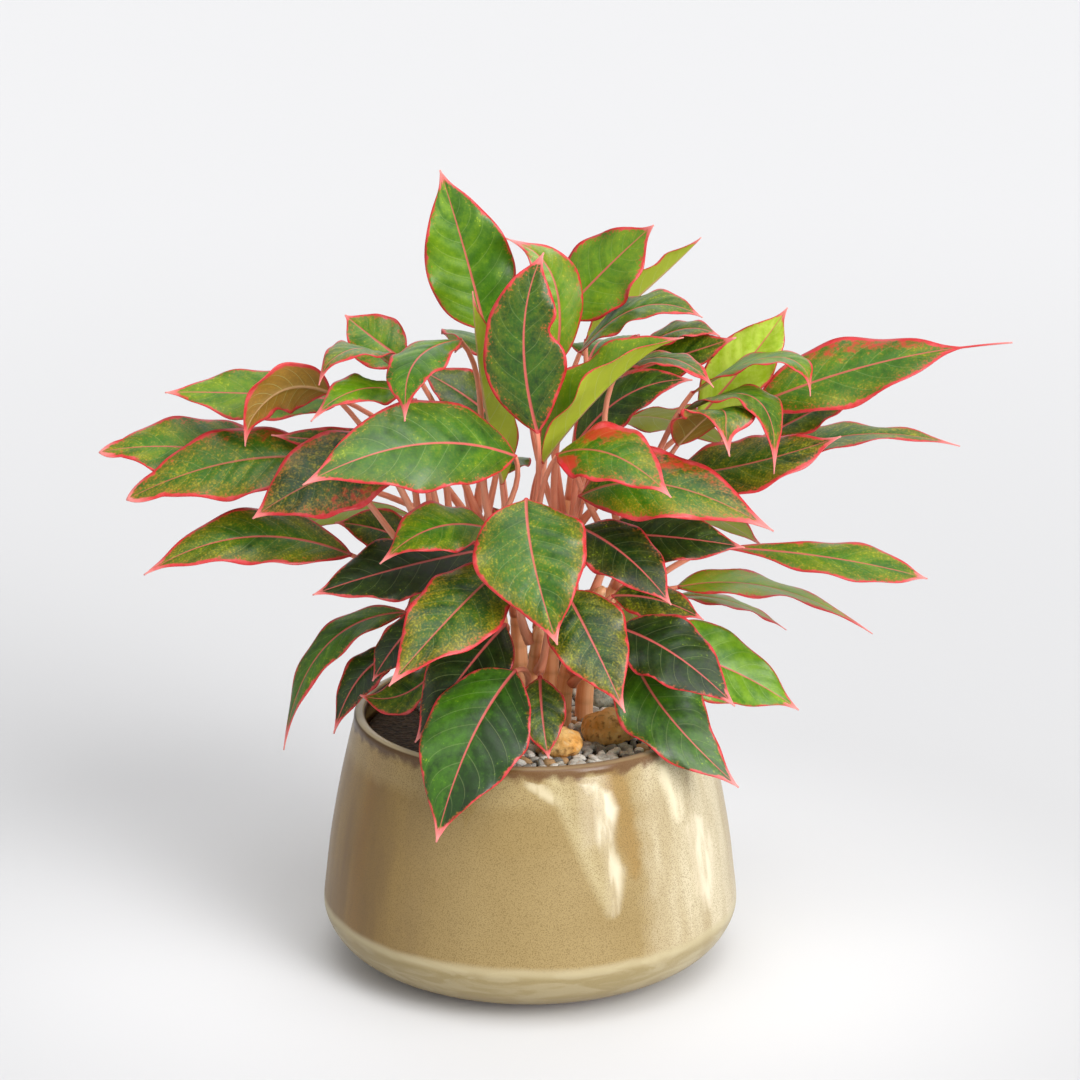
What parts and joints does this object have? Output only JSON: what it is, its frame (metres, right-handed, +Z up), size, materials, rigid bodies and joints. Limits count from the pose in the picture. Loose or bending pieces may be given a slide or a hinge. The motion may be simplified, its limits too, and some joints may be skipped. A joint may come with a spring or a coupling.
{
  "type": "potted chinese evergreen",
  "caption": "Bushy aglaonema with waved, red-edged green leaves on pink stalks, standing in soil, gravel and river stones in a round glazed stoneware planter with a wide low belly.",
  "frame": {"origin": "centre of the pot's flat foot, where it rests", "axes": "+Z up, -Y towards the viewer of the picture, +X to the viewer's right"},
  "size_m": [0.7259, 0.3729, 0.6489],
  "materials": {
    "glaze": "speckled ochre-tan gloss glaze",
    "soil": "loose dark potting mix",
    "gravel": "dry grey and white chips",
    "ochre_stone": "rough ochre river stone",
    "grey_stone": "smooth grey river stone",
    "cane": "salmon-pink fleshy stem, satin",
    "leaf": "satin green leaf with red-pink margin and midrib"
  },
  "bodies": {
    "root": {"pot": "glaze", "soil": "soil", "gravel": "gravel", "stone_grey": "grey_stone", "stone_ochre_far": "ochre_stone", "stone_ochre_front": "ochre_stone", "stone_ochre_right": "ochre_stone", "stone_ochre_side": "ochre_stone", "cane_back_left": "leaf", "cane_back_right": "leaf", "cane_front": "cane", "cane_front_left": "cane", "cane_front_right": "cane", "cane_left": "leaf", "cane_middle": "cane", "cane_right": "cane", "leaf_centre_1": "leaf", "leaf_centre_2": "leaf", "leaf_front_1": "leaf", "leaf_front_2": "leaf", "leaf_front_3": "leaf", "leaf_front_4": "leaf", "leaf_front_5": "leaf", "leaf_front_6": "leaf", "leaf_front_7": "leaf", "leaf_front_8": "leaf", "leaf_front_9": "leaf", "leaf_left_1": "leaf", "leaf_left_10": "leaf", "leaf_left_11": "leaf", "leaf_left_2": "leaf", "leaf_left_3": "leaf", "leaf_left_4": "leaf", "leaf_left_5": "leaf", "leaf_left_6": "leaf", "leaf_left_7": "leaf", "leaf_left_9": "leaf", "leaf_low_1": "leaf", "leaf_low_2": "leaf", "leaf_low_3": "leaf", "leaf_low_4": "leaf", "leaf_low_5": "leaf", "leaf_low_6": "leaf", "leaf_low_7": "leaf", "leaf_right_1": "leaf", "leaf_right_10": "leaf", "leaf_right_2": "leaf", "leaf_right_3": "leaf", "leaf_right_5": "leaf", "leaf_right_6": "leaf", "leaf_right_7": "leaf", "leaf_right_8": "leaf", "leaf_right_9": "leaf", "leaf_top_1": "leaf", "leaf_top_2": "leaf", "leaf_top_3": "leaf", "leaf_top_4": "leaf", "leaf_top_5": "leaf", "leaf_top_6": "leaf", "leaf_top_7": "leaf"}
  },
  "joints": []
}
